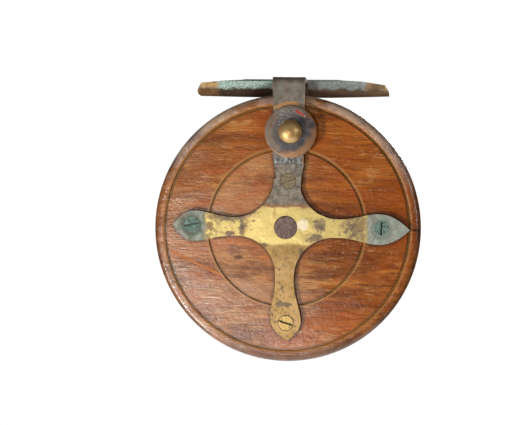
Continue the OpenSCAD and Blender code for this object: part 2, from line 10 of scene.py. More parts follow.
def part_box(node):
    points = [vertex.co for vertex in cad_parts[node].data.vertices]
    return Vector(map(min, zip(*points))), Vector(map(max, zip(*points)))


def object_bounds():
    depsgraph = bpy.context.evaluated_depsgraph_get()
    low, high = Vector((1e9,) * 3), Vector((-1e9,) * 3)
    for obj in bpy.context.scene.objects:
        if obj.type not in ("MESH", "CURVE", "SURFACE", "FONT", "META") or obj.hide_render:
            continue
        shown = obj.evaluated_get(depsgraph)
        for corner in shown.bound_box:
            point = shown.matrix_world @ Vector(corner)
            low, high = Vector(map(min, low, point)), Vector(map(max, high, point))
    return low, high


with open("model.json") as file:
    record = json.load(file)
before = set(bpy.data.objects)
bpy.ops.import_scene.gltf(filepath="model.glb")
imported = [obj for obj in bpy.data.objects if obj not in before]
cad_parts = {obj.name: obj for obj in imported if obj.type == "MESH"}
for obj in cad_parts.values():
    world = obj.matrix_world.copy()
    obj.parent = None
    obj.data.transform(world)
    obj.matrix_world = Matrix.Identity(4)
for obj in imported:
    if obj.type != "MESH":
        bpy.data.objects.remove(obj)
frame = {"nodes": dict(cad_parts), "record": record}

MM = 0.001
cad_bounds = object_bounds()

# ---- where things are, all from the frame ----


def middle(node):
    low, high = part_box(node)
    return (low + high) / 2


plate_low, plate_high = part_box("back_plate")
HUB = middle("back_plate")
BACK_Y = plate_low.y
PLATE_R = (plate_high.x - plate_low.x) / 2
STAR_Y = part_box("star_frame")[0].y
DISC = middle("brake_disc")
disc_low, disc_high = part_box("brake_disc")
DISC_R = (disc_high.x - disc_low.x) / 2
FOOT_LOW, FOOT_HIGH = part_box("foot")


def on_back(right, up):
    """The place so many millimetres right of the hub and above it."""
    return HUB + Vector((right, 0, up)) * MM


# ---- node graph helpers ----

# Sockets of the Mix node, which keeps a set of its own for colours and one for plain numbers
COLOUR_A, COLOUR_B, COLOUR_OUT = 6, 7, 2
NUMBER_A, NUMBER_B, NUMBER_OUT = 2, 3, 0


def srgb(red, green, blue):
    """A colour given as 0 to 255 screen values, as linear red, green, blue, alpha."""
    def linear(value):
        value /= 255
        return value / 12.92 if value <= 0.04045 else ((value + 0.055) / 1.055) ** 2.4
    return (linear(red), linear(green), linear(blue), 1.0)


class Surface:
    """A material under construction. Its methods add nodes and return their output sockets."""

    def __init__(self, name, seed=0.0):
        self.material = bpy.data.materials.new(name)
        self.material.use_nodes = True
        self.tree = self.material.node_tree
        self.tree.nodes.clear()
        self.shader = self.tree.nodes.new("ShaderNodeBsdfPrincipled")
        output = self.tree.nodes.new("ShaderNodeOutputMaterial")
        self.tree.links.new(self.shader.outputs[0], output.inputs["Surface"])
        self.place = self.tree.nodes.new("ShaderNodeTexCoord").outputs["Object"]
        self.seeded = self.add(self.place, (seed, seed * 1.7, -seed))
        parts = self.tree.nodes.new("ShaderNodeSeparateXYZ")
        self.feed(parts.inputs[0], self.place)
        self.x, self.y, self.z = parts.outputs
        facing = self.tree.nodes.new("ShaderNodeSeparateXYZ")
        self.feed(facing.inputs[0], self.tree.nodes.new("ShaderNodeTexCoord").outputs["Normal"])
        self.flat = self.math("ABSOLUTE", facing.outputs[1])

    def feed(self, socket, value):
        if isinstance(value, bpy.types.NodeSocket):
            self.tree.links.new(value, socket)
        else:
            socket.default_value = value

    def set(self, name, value):
        self.feed(self.shader.inputs[name], value)

    def math(self, operation, a, b=0.0, clamp=False):
        node = self.tree.nodes.new("ShaderNodeMath")
        node.operation = operation
        node.use_clamp = clamp
        self.feed(node.inputs[0], a)
        self.feed(node.inputs[1], b)
        return node.outputs[0]

    def vector(self, operation, a, b):
        node = self.tree.nodes.new("ShaderNodeVectorMath")
        node.operation = operation
        self.feed(node.inputs[0], a)
        self.feed(node.inputs[1], b)
        wanted = "VALUE" if operation in ("LENGTH", "DISTANCE", "DOT_PRODUCT") else "VECTOR"
        return next(socket for socket in node.outputs if socket.enabled and socket.type == wanted)

    def add(self, a, b):
        return self.vector("ADD", a, b)

    def stretched(self, at, scales):
        return self.vector("MULTIPLY", at, scales)

    def noise(self, at, scale=1.0, detail=4.0, rough=0.55, warp=0.0):
        node = self.tree.nodes.new("ShaderNodeTexNoise")
        self.feed(node.inputs["Vector"], at)
        node.inputs["Scale"].default_value = scale
        node.inputs["Detail"].default_value = detail
        node.inputs["Roughness"].default_value = rough
        node.inputs["Distortion"].default_value = warp
        return node.outputs[0]

    def cells(self, at, scale):
        node = self.tree.nodes.new("ShaderNodeTexVoronoi")
        self.feed(node.inputs["Vector"], at)
        node.inputs["Scale"].default_value = scale
        return node.outputs["Distance"]

    def step(self, value, low, high):
        """0 below low, 1 above high and smooth between. low may be above high."""
        node = self.tree.nodes.new("ShaderNodeMapRange")
        node.interpolation_type = "SMOOTHSTEP"
        self.feed(node.inputs["Value"], value)
        node.inputs["From Min"].default_value = min(low, high)
        node.inputs["From Max"].default_value = max(low, high)
        node.inputs["To Min"].default_value = 0.0 if low < high else 1.0
        node.inputs["To Max"].default_value = 1.0 if low < high else 0.0
        return node.outputs["Result"]

    def both(self, *masks):
        result = masks[0]
        for mask in masks[1:]:
            result = self.math("MULTIPLY", result, mask)
        return result

    def either(self, *masks):
        result = masks[0]
        for mask in masks[1:]:
            result = self.math("MAXIMUM", result, mask)
        return result

    def without(self, mask):
        """1 where the mask is 0, and 0 where it is 1."""
        return self.math("SUBTRACT", 1.0, mask, True)

    def sway(self, noise, width):
        """A noise as a shift of up to half the width either way."""
        return self.math("MULTIPLY", self.math("SUBTRACT", noise, 0.5), width)

    def mix(self, mask, a, b):
        node = self.tree.nodes.new("ShaderNodeMix")
        node.data_type = "RGBA"
        self.feed(node.inputs["Factor"], mask)
        self.feed(node.inputs[COLOUR_A], a)
        self.feed(node.inputs[COLOUR_B], b)
        return node.outputs[COLOUR_OUT]

    def between(self, mask, a, b):
        """A plain number that runs from a to b with the mask."""
        node = self.tree.nodes.new("ShaderNodeMix")
        self.feed(node.inputs["Factor"], mask)
        self.feed(node.inputs[NUMBER_A], a)
        self.feed(node.inputs[NUMBER_B], b)
        return node.outputs[NUMBER_OUT]

    def ramp(self, value, stops):
        node = self.tree.nodes.new("ShaderNodeValToRGB")
        elements = node.color_ramp.elements
        while len(elements) < len(stops):
            elements.new(0.5)
        for element, (position, colour) in zip(elements, stops):
            element.position = position
            element.color = colour
        self.feed(node.inputs[0], value)
        return node.outputs[0]

    def bump(self, height, distance, strength=1.0, under=None):
        node = self.tree.nodes.new("ShaderNodeBump")
        node.inputs["Strength"].default_value = strength
        node.inputs["Distance"].default_value = distance
        self.feed(node.inputs["Height"], height)
        if under is not None:
            self.feed(node.inputs["Normal"], under)
        return node.outputs[0]

    def offset(self, centre):
        """The place seen from a centre, with Y left out: a flat position on the reel's back."""
        moved = self.vector("SUBTRACT", self.place, tuple(centre))
        return self.stretched(moved, (1.0, 0.0, 1.0))

    def reach(self, centre):
        """Distance from an axis along Y through centre."""
        return self.vector("LENGTH", self.offset(centre), (0, 0, 0))

    def close_to(self, value, target, width):
        """1 where value is at target, falling to 0 at width from it."""
        gap = self.math("ABSOLUTE", self.math("SUBTRACT", value, target))
        return self.step(gap, width, width * 0.35)

    def spot(self, at, size, rough=0.55, scale=160.0, soft=0.12):
        """A ragged oval. Its place, right of the hub and above it, and its half sizes are in millimetres."""
        offset = self.offset(on_back(*at))
        away = self.stretched(offset, (1 / (size[0] * MM), 0, 1 / (size[1] * MM)))
        ragged = self.sway(self.noise(self.seeded, scale, 5.0, 0.65), rough * 4)
        return self.step(self.math("ADD", self.vector("LENGTH", away, (0, 0, 0)), ragged), 1 + soft, 1 - soft)


def paint(node, surface):
    """Puts a material on a CAD node or a new piece."""
    thing = frame["nodes"][node] if isinstance(node, str) else node
    thing.data.materials.clear()
    thing.data.materials.append(surface.material)


# ---- wood ----

OUTER_GROOVE = 58.0 * MM
INNER_GROOVE = 37.1 * MM
# A place on the long scratch, in millimetres right of the hub and above it
SCRATCH = (-41, -19)
SPLIT_UP = 0.1 * MM
DRUM_WEAR = 0.7
DRUM_RIM_FROM, DRUM_RIM_TO = 53 * MM, 60 * MM
DRUM_GROOVES = (52 * MM, 24 * MM)
DRUM_FRONT_Y = 13.0 * MM
CORE_R = 22 * MM


def wood_grain(s, wear=1.0):
    """Old varnished hardwood with its grain along X: colour, roughness, height, streaks and fibres."""
    warp = s.noise(s.stretched(s.seeded, (16, 30, 30)), 1.0, 3.0)
    wave = s.tree.nodes.new("ShaderNodeCombineXYZ")
    s.feed(wave.inputs["Z"], s.sway(warp, 0.008))
    run = s.add(s.seeded, wave.outputs[0])
    bands = s.noise(s.stretched(run, (12, 90, 170)), 1.0, 8.0, 0.66)
    streaks = s.noise(s.stretched(run, (22, 500, 700)), 1.0, 4.0, 0.6)
    fibres = s.noise(s.stretched(run, (70, 1500, 2400)), 1.0, 3.0, 0.6)
    pores = s.noise(s.stretched(run, (150, 1500, 1900)), 1.0, 2.0, 0.5)
    colour = s.ramp(bands, [
        (0.30, srgb(132, 68, 22)), (0.44, srgb(162, 84, 24)),
        (0.56, srgb(192, 108, 34)), (0.72, srgb(220, 148, 64))
    ])
    colour = s.mix(s.both(s.step(streaks, 0.50, 0.36), 0.6), colour, srgb(118, 56, 14))
    colour = s.mix(s.both(s.step(fibres, 0.50, 0.36), 0.5), colour, srgb(92, 44, 12))
    # Patches where the varnish has worn through to paler, drier wood
    patches = s.noise(s.stretched(s.seeded, (34, 60, 60)), 1.0, 7.0, 0.72, 0.3)
    scuffs = s.noise(s.stretched(run, (90, 300, 620)), 1.0, 5.0, 0.7)
    worn = s.step(s.math("ADD", patches, s.math("MULTIPLY", scuffs, 0.7)), 0.935, 0.955)
    worn = s.both(worn, 0.7 * wear)
    pale = s.mix(s.step(fibres, 0.42, 0.60), srgb(176, 112, 52), srgb(222, 164, 98))
    colour = s.mix(worn, colour, pale)
    dark_pore = s.both(s.step(pores, 0.58, 0.66), 0.55)
    colour = s.mix(dark_pore, colour, srgb(64, 30, 12))
    height = s.math("ADD", s.math("MULTIPLY", streaks, 0.5), s.math("MULTIPLY", fibres, 0.5))
    height = s.math("SUBTRACT", height, s.math("MULTIPLY", dark_pore, 0.8))
    rough = s.between(worn, s.between(s.step(bands, 0.4, 0.6), 0.26, 0.34), 0.50)
    return colour, rough, height, streaks, fibres


def back_wood():
    s = Surface("old_wood_back", 3.1)
    colour, rough, height, streaks, fibres = wood_grain(s)
    radius = s.reach(HUB)
    # The lower left is rubbed pale; the upper right keeps more of its orange varnish
    lean = s.vector("DOT_PRODUCT", s.offset(HUB), (-0.70, 0.0, -0.71))
    blotch = s.noise(s.stretched(s.seeded, (40, 40, 58)), 1.0, 6.0, 0.7)
    spread = s.math("ADD", s.math("MULTIPLY", lean, 13.0), s.math("MULTIPLY", blotch, 1.5))
    rubbed_and_highlit = s.step(spread, 0.70, 1.60)
    dry = s.mix(s.step(fibres, 0.40, 0.62), srgb(160, 106, 62), srgb(216, 172, 126))
    colour = s.mix(s.both(rubbed_and_highlit, 0.55), colour, dry)
    # Inside the inner groove and at the upper left the wood is a little paler
    inside = s.step(radius, INNER_GROOVE + 1.0 * MM, INNER_GROOVE - 2.0 * MM)
    inside = s.both(inside, s.step(s.x, 26 * MM, -14 * MM))
    colour = s.mix(s.both(inside, 0.34), colour, srgb(226, 172, 122))
    upper_left = s.both(s.step(s.x, 0.0, -30 * MM), s.step(s.z, HUB.z + 4 * MM, HUB.z + 24 * MM))
    colour = s.mix(s.both(upper_left, 0.08), colour, srgb(240, 168, 96))
    # Darker, dirtier streaks here and there
    dirty = s.noise(s.stretched(s.add(s.seeded, (0.7, 0.0, 0.4)), (24, 60, 95)), 1.0, 7.0, 0.72)
    colour = s.mix(s.both(s.step(dirty, 0.50, 0.64), 0.62), colour, srgb(96, 44, 12))
    redder = s.noise(s.stretched(s.add(s.seeded, (0.2, 0.0, 0.9)), (30, 60, 70)), 1.0, 6.0, 0.7)
    colour = s.mix(s.both(s.step(redder, 0.52, 0.62), 0.35), colour, srgb(186, 78, 20))
    # A long scratch down from the left arm to the inner groove
    slant = s.vector("DOT_PRODUCT", s.offset(on_back(*SCRATCH)), (0.408, 0.0, 0.912))
    slant = s.math("ADD", slant, s.sway(blotch, 0.0016))
    reach = s.both(s.step(s.x, -27 * MM, -29 * MM), s.step(radius, OUTER_GROOVE, 56 * MM))
    colour = s.mix(s.both(s.close_to(slant, 0.0, 1.5 * MM), reach, 0.6), colour, srgb(104, 58, 28))
    scratch = s.both(s.close_to(slant, 0.0, 0.95 * MM), reach)
    colour = s.mix(s.both(scratch, 0.9), colour, srgb(204, 116, 34))
    # Scrapes in the varnish, painted near-white in the lower left as a painted highlight of glare
    scrapes_and_glare = s.noise(s.stretched(s.add(s.seeded, (0.3, 0, 0.1)), (48, 500, 900)), 1.0, 3.0, 0.8)
    scrapes_and_glare = s.both(s.step(scrapes_and_glare, 0.60, 0.68), s.between(rubbed_and_highlit, 0.30, 0.85))
    colour = s.mix(scrapes_and_glare, colour, s.mix(rubbed_and_highlit, srgb(216, 176, 132), srgb(248, 232, 212)))
    warm = s.both(s.step(lean, -8 * MM, -36 * MM), s.step(blotch, 0.40, 0.62))
    colour = s.mix(s.both(warm, 0.5), colour, srgb(170, 80, 10))
    # A dark knot under the left arm
    knot = s.spot((-24.4, -11.6), (3.0, 2.4), 0.7, 300.0, 0.5)
    colour = s.mix(s.both(knot, 0.55), colour, srgb(112, 78, 62))
    small_knot = s.spot((-22.3, -14.6), (1.7, 1.0), 0.6, 300.0, 0.4)
    colour = s.mix(s.both(small_knot, 0.8), colour, srgb(84, 44, 22))
    # A dark line along the split at the right edge
    split = s.both(s.close_to(s.z, HUB.z + SPLIT_UP, 0.9 * MM), s.step(s.x, 56 * MM, 59 * MM))
    colour = s.mix(s.both(split, 0.7), colour, srgb(58, 34, 20))
    # Dirt in the grooves, with a thin pale line of bare wood along their edges
    ragged = s.sway(s.noise(s.seeded, 420.0, 3.0), 0.9 * MM)
    wobble = s.math("ADD", radius, ragged)
    dirt = s.noise(s.seeded, 60.0, 3.0)
    for groove in (OUTER_GROOVE, INNER_GROOVE):
        edge = s.both(s.close_to(wobble, groove + 1.0 * MM, 0.8 * MM), 0.5)
        colour = s.mix(edge, colour, srgb(196, 144, 84))
        depth = s.between(s.step(dirt, 0.35, 0.62), 0.45, 0.9)
        filled = s.both(s.close_to(wobble, groove, 0.75 * MM), depth)
        colour = s.mix(filled, colour, srgb(124, 92, 44))
    # The rim is darker than the face, with brown bruises
    rim = s.step(radius, OUTER_GROOVE + 2.2 * MM, PLATE_R - 1.2 * MM)
    bruise = s.step(s.noise(s.seeded, 130.0, 4.0, 0.7), 0.4, 0.6)
    colour = s.mix(s.both(rim, 0.78), colour, s.mix(bruise, srgb(84, 48, 24), srgb(144, 92, 50)))
    # Grey where the varnish has gone from the top of the rim
    bead = s.step(radius, OUTER_GROOVE + 1.0 * MM, OUTER_GROOVE + 2.0 * MM)
    bead = s.both(bead, s.step(s.y, BACK_Y + 4.5 * MM, BACK_Y + 2.5 * MM))
    grey = s.both(bead, s.step(s.z, HUB.z + 14 * MM, HUB.z + 40 * MM), s.step(blotch, 0.34, 0.50))
    colour = s.mix(s.both(grey, 0.66), colour, s.mix(bruise, srgb(166, 146, 140), srgb(226, 198, 170)))
    # Painted shade: the rim is painted dark underneath
    underneath = s.both(bead, s.step(s.z, HUB.z - 40 * MM, HUB.z - 58 * MM), s.step(s.x, -34 * MM, -10 * MM))
    colour = s.mix(s.both(underneath, 0.5), colour, srgb(62, 34, 16))
    # Painted shade, with old polish and dirt: the wood is darkened in the corners beside the brass
    corner = s.tree.nodes.new("ShaderNodeAmbientOcclusion")
    corner.inputs["Distance"].default_value = 3.2 * MM
    corner.samples = 8
    corner.only_local = False
    grooves = s.either(s.close_to(radius, OUTER_GROOVE, 1.8 * MM), s.close_to(radius, INNER_GROOVE, 1.8 * MM))
    open_face = s.both(s.step(radius, OUTER_GROOVE + 1.0 * MM, OUTER_GROOVE - 1.0 * MM), s.without(grooves))
    darkened = s.both(s.step(corner.outputs["AO"], 0.92, 0.50), open_face)
    colour = s.mix(s.both(darkened, 0.85), colour, srgb(56, 32, 16))
    # Specks of dust
    dust = s.both(s.step(s.noise(s.seeded, 700.0, 2.0), 0.66, 0.74), 0.35)
    colour = s.mix(dust, colour, srgb(200, 170, 134))
    s.set("Base Color", colour)
    s.set("Roughness", s.between(s.both(rubbed_and_highlit, streaks), rough, 0.44))
    s.set("Specular IOR Level", s.between(rubbed_and_highlit, 0.22, 0.5))
    # Old varnish: a clear coat with fine cross ripples and dents that catch the light
    coarse = s.noise(s.stretched(s.seeded, (90, 120, 170)), 1.0, 6.0, 0.7)
    ripple = s.noise(s.stretched(s.seeded, (620, 620, 420)), 1.0, 3.0, 0.6)
    soft = s.bump(s.math("ADD", coarse, s.math("MULTIPLY", ripple, 0.30)), 0.8 * MM, 0.6)
    s.set("Normal", s.bump(height, 0.15 * MM, 0.8, soft))
    shine = s.math("SUBTRACT", s.either(rubbed_and_highlit, s.both(bead, 0.95)), scratch, True)
    s.set("Coat Weight", s.between(shine, 0.10, 1.0))
    s.set("Coat Roughness", s.between(s.noise(s.seeded, 60.0, 4.0), 0.10, 0.24))
    s.set("Coat Normal", soft)
    return s


def drum_wood():
    s = Surface("old_wood_drum", 8.3)
    colour, rough, height = wood_grain(s, DRUM_WEAR)[:3]
    radius = s.reach(HUB)
    rim = s.step(radius, DRUM_RIM_FROM, DRUM_RIM_TO)
    colour = s.mix(s.both(rim, 0.4), colour, srgb(96, 52, 30))
    for groove in DRUM_GROOVES:
        on_front = s.step(s.y, DRUM_FRONT_Y, DRUM_FRONT_Y + 0.4 * MM)
        colour = s.mix(s.both(s.close_to(radius, groove, 0.8 * MM), on_front), colour, srgb(66, 44, 26))
    # Line wear and water marks on the core, between the flanges
    core = s.step(radius, CORE_R, CORE_R - 0.8 * MM)
    rings = s.noise(s.stretched(s.seeded, (4, 900, 4)), 1.0, 3.0)
    colour = s.mix(s.both(core, s.step(rings, 0.45, 0.6), 0.5), colour, srgb(120, 82, 52))
    s.set("Base Color", colour)
    s.set("Roughness", rough)
    s.set("Normal", s.bump(height, 0.14 * MM, 0.8))
    return s


# ---- metal ----

BARE_METALLIC = 0.7
COATED_METALLIC = 0.2
# The star: where its green tips start, and its screws, in millimetres right of the hub and above it
TIP = 37.0 * MM
SIDE_SCREW = 45.2 * MM
LOWER_SCREW = (1.03, -45.2)
UPPER_SCREW = (0.8, 22)
# Blotches of tarnish on it: place and half sizes in millimetres, raggedness and softness
BLOTCHES = (
    ((-20.6, -0.4), (1.6, 4.4), 0.9, 0.3), ((-28, 4.6), (9.5, 2.0), 0.9, 0.4),
    ((-17.0, 7.2), (3.0, 1.6), 0.9, 0.4), ((16.4, 1.4), (2.6, 3.0), 1.0, 0.4),
    ((14.0, -4.6), (4.0, 1.8), 1.0, 0.4), ((33, 0.5), (4.0, 5.0), 1.2, 0.4),
    ((-27, -3.2), (2.4, 1.0), 0.9, 0.3), ((-0.6, -36.5), (3.2, 1.3), 0.9, 0.3),
    ((-10.0, -8.4), (1.8, 1.0), 0.9, 0.3), ((7.6, -13.0), (1.0, 2.6), 0.9, 0.4)
)
BLOTCH_SCALE = 420.0


def patina(s, metal, mask, colour, base_rough, patina_rough, covered=None):
    """Mixes bare metal with a dull coat over it where mask is 1.

    It looks less metallic where covered is 1, or where mask is if covered is left out.
    """
    s.set("Base Color", s.mix(mask, metal, colour))
    s.set("Metallic", s.between(mask if covered is None else covered, BARE_METALLIC, COATED_METALLIC))
    s.set("Roughness", s.between(mask, base_rough, patina_rough))


def star_brass():
    s = Surface("star_brass", 1.7)
    flat = s.offset(HUB)
    radius = s.reach(HUB)
    parts = s.tree.nodes.new("ShaderNodeSeparateXYZ")
    s.feed(parts.inputs[0], flat)
    across, up = parts.outputs[0], parts.outputs[2]
    big = s.noise(s.seeded, 95.0, 5.0, 0.62, 0.4)
    mid = s.noise(s.seeded, 300.0, 5.0, 0.68)
    fine = s.noise(s.seeded, 1400.0, 3.0, 0.6)
    polish = s.noise(s.stretched(s.seeded, (300, 1200, 1500)), 1.0, 3.0)
    bright = s.mix(polish, srgb(226, 196, 116), srgb(244, 218, 140))
    # A painted highlight: a near-white spot right of the spindle
    bright = s.mix(s.both(s.spot((7.6, 1.4), (2.8, 2.4), 0.9, 300.0), 0.8), bright, srgb(255, 236, 204))
    ochre = s.mix(s.step(mid, 0.35, 0.65), srgb(164, 128, 74), srgb(196, 158, 98))
    # Polished in the middle, ochre down the lower arm and duller out along the side arms
    ragged = s.sway(big, 0.006)
    lower = s.step(s.math("ADD", up, ragged), -6.6 * MM, -8.6 * MM)
    arm = s.step(radius, 12 * MM, 20 * MM)
    dull = s.either(lower, s.both(arm, s.step(mid, 0.42, 0.54), 0.8))
    colour = s.mix(lower, bright, ochre)
    colour = s.mix(s.both(arm, s.step(big, 0.44, 0.56), 0.8), colour, srgb(206, 166, 110))
    # Brown grey tarnish: blotches at the roots of the side arms, along their tops, and finer specks
    blotches = s.either(*(s.spot(at, size, rough, BLOTCH_SCALE, soft) for at, size, rough, soft in BLOTCHES))
    # A brown stain left of the middle
    stain = s.spot((-5.3, 6.4), (0.9, 3.0), 0.5, 300.0)
    colour = s.mix(s.both(stain, 0.45), colour, srgb(186, 138, 84))
    grains = s.math("ADD", s.noise(s.seeded, 640.0, 4.0, 0.6), s.math("MULTIPLY", lower, 0.022))
    specks = s.both(s.step(grains, 0.60, 0.66), s.step(radius, 9 * MM, 14 * MM))
    tarnish = s.either(s.both(blotches, 0.9), s.both(specks, 0.8))
    brown = s.mix(s.step(mid, 0.40, 0.58), srgb(98, 86, 82), srgb(156, 130, 98))
    brown = s.mix(s.both(lower, 0.5), brown, srgb(120, 96, 76))
    # The upper arm is grey brown all over
    upper = s.step(s.math("ADD", up, ragged), 8.8 * MM, 10.2 * MM)
    grey = s.mix(s.step(mid, 0.38, 0.62), srgb(112, 102, 90), srgb(162, 148, 128))
    grey = s.mix(s.both(s.step(s.noise(s.seeded, 800.0, 3.0), 0.56, 0.66), 0.5), grey, srgb(176, 178, 164))
    coat = s.mix(upper, brown, grey)
    warm = s.both(s.close_to(s.math("ADD", up, ragged), 9.8 * MM, 2.2 * MM), 0.7)
    coat = s.mix(warm, coat, srgb(172, 116, 66))
    # Green verdigris on the left and right tips, and brown next to it
    side = s.math("ADD", s.math("ABSOLUTE", across), s.sway(mid, 0.006))
    green = s.step(side, TIP, TIP + 2.2 * MM)
    beside = s.both(s.step(side, TIP - 8 * MM, TIP), s.step(mid, 0.38, 0.56))
    crust = s.mix(s.step(mid, 0.40, 0.62), srgb(120, 118, 102), srgb(172, 172, 154))
    crust = s.mix(s.both(s.step(fine, 0.46, 0.60), 0.4), crust, srgb(186, 190, 172))
    crust = s.mix(s.both(s.step(s.noise(s.seeded, 420.0, 4.0), 0.54, 0.64), 0.6), crust, srgb(100, 140, 120))
    ring = s.math("ABSOLUTE", s.math("SUBTRACT", s.math("ABSOLUTE", across), SIDE_SCREW))
    from_screw = s.math("POWER", s.math("ADD", s.math("POWER", ring, 2.0), s.math("POWER", up, 2.0)), 0.5)
    crust = s.mix(s.both(s.close_to(from_screw, 4.1 * MM, 1.4 * MM), 0.7), crust, srgb(74, 98, 82))
    edge_brown = s.both(s.step(s.noise(s.seeded, 180.0, 4.0), 0.54, 0.62), 0.6)
    crust = s.mix(edge_brown, crust, srgb(120, 100, 76))
    crust = s.mix(s.both(s.step(across, 0.0, 10 * MM), 0.3), crust, srgb(196, 200, 184))
    coat = s.mix(beside, coat, srgb(156, 122, 82))
    coat = s.mix(green, coat, crust)
    mask = s.either(tarnish, upper, green, s.both(beside, 0.85))
    # A dark seam round the lower and the upper screw
    seams = s.either(*(
        s.close_to(s.reach(on_back(*place)), 3.55 * MM, 0.4 * MM) for place in (LOWER_SCREW, UPPER_SCREW)
    ))
    mask = s.either(mask, seams)
    coat = s.mix(seams, coat, srgb(96, 74, 48))
    # Rubbed edges stay bare and are painted near-white as a painted highlight, except on the tips
    rubbed_and_highlit = s.both(s.step(s.flat, 0.985, 0.90), s.without(s.both(green, 0.7)), 0.75)
    mask = s.both(mask, s.without(rubbed_and_highlit))
    colour = s.mix(rubbed_and_highlit, colour, srgb(255, 240, 196))
    bare_rough = s.between(dull, s.between(polish, 0.30, 0.40), 0.46)
    patina(s, colour, mask, coat, bare_rough, 0.56, s.either(mask, s.both(rubbed_and_highlit, 0.6)))
    pits = s.math("SUBTRACT", s.math("MULTIPLY", fine, s.either(mask, 0.25)), s.math("MULTIPLY", specks, 0.6))
    waves = s.bump(big, 0.6 * MM, 0.4)
    s.set("Normal", s.bump(pits, 0.14 * MM, 0.8, waves))
    return s


def strap_brass():
    s = Surface("strap_brass", 5.9)
    mid = s.noise(s.seeded, 210.0, 5.0, 0.6)
    fine = s.noise(s.seeded, 1300.0, 3.0, 0.6)
    crackle = s.noise(s.seeded, 620.0, 4.0, 0.7)
    colour = s.mix(s.step(mid, 0.36, 0.64), srgb(118, 104, 92), srgb(152, 140, 126))
    green = s.both(s.step(s.noise(s.seeded, 150.0, 4.0), 0.55, 0.68), 0.5)
    colour = s.mix(green, colour, srgb(132, 144, 128))
    # A crescent of bright copper where the disc has rubbed, just above it
    from_disc = s.reach(DISC)
    above = s.step(s.z, DISC.z + 9 * MM, DISC.z + 11.5 * MM)
    above = s.both(above, s.step(s.x, DISC.x + 5 * MM, DISC.x + 2 * MM))
    rub = s.both(s.close_to(from_disc, DISC_R + 1.5 * MM, 1.3 * MM), above, s.step(mid, 0.36, 0.48))
    # A pale speckled crust under the disc
    line = s.math("ADD", s.z, s.sway(mid, 0.004))
    below = s.step(line, DISC.z - 11.0 * MM, DISC.z - 12.2 * MM)
    speckle = s.mix(s.step(crackle, 0.46, 0.58), srgb(76, 80, 78), srgb(188, 196, 190))
    colour = s.mix(s.both(below, 0.75), colour, speckle)
    # Its sides are rubbed bright in places
    side_low, side_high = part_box("foot_strap")
    centre = (side_low.x + side_high.x) / 2
    half = (side_high.x - side_low.x) / 2
    edge = s.math("ABSOLUTE", s.math("SUBTRACT", s.x, centre))
    worn_edge = s.both(s.step(edge, half - 0.9 * MM, half - 0.3 * MM), s.step(mid, 0.46, 0.60), 0.5)
    bare = s.either(rub, worn_edge)
    mask = s.without(bare)
    patina(s, srgb(226, 164, 106), mask, colour, 0.40, 0.50)
    s.set("Normal", s.bump(fine, 0.10 * MM, 0.6, s.bump(mid, 0.3 * MM, 0.4)))
    return s


def foot_brass():
    s = Surface("foot_brass", 2.6)
    mid = s.noise(s.seeded, 240.0, 6.0, 0.68)
    fine = s.noise(s.seeded, 1100.0, 4.0, 0.7)
    crackle = s.cells(s.seeded, 900.0)
    height = FOOT_HIGH.z - FOOT_LOW.z
    line = s.math("ADD", s.z, s.sway(mid, 0.0045))
    turquoise = s.mix(s.step(fine, 0.38, 0.62), srgb(150, 186, 172), srgb(222, 236, 222))
    turquoise = s.mix(s.both(s.step(crackle, 0.42, 0.25), 0.6), turquoise, srgb(122, 144, 128))
    turquoise = s.mix(s.step(mid, 0.62, 0.70), turquoise, srgb(150, 142, 112))
    # Painted light: the right half is painted whiter over its frost, and its dark lower band paler, to make
    # up for the strap's shadow on it
    frost_and_painted_light = s.both(s.step(s.x, 0.0, 10 * MM), s.between(s.step(fine, 0.42, 0.56), 0.4, 1.0))
    turquoise = s.mix(frost_and_painted_light, turquoise, srgb(250, 255, 252))
    dark = s.mix(s.step(fine, 0.36, 0.62), srgb(62, 45, 30), srgb(118, 94, 68))
    dark = s.mix(s.both(s.step(s.x, 4 * MM, -10 * MM), 0.5), dark, srgb(52, 38, 26))
    dark = s.mix(s.both(s.step(s.x, 4 * MM, 12 * MM), 0.6), dark, srgb(196, 166, 138))
    high = s.step(line, FOOT_LOW.z + 0.34 * height, FOOT_LOW.z + 0.50 * height)
    colour = s.mix(high, dark, turquoise)
    # The ends are worn to the metal
    from_middle = s.math("ADD", s.math("ABSOLUTE", s.x), s.math("MULTIPLY", mid, 0.010))
    ends = s.step(from_middle, FOOT_HIGH.x - 7 * MM, FOOT_HIGH.x - 4 * MM)
    gold = s.mix(s.step(mid, 0.40, 0.60), srgb(184, 124, 52), srgb(236, 180, 96))
    worn = s.both(ends, s.either(high, 0.35))
    mask = s.without(s.both(worn, 0.8))
    patina(s, gold, mask, colour, 0.38, 0.66)
    s.set("Normal", s.bump(fine, 0.16 * MM, 0.8, s.bump(mid, 0.5 * MM, 0.5)))
    return s


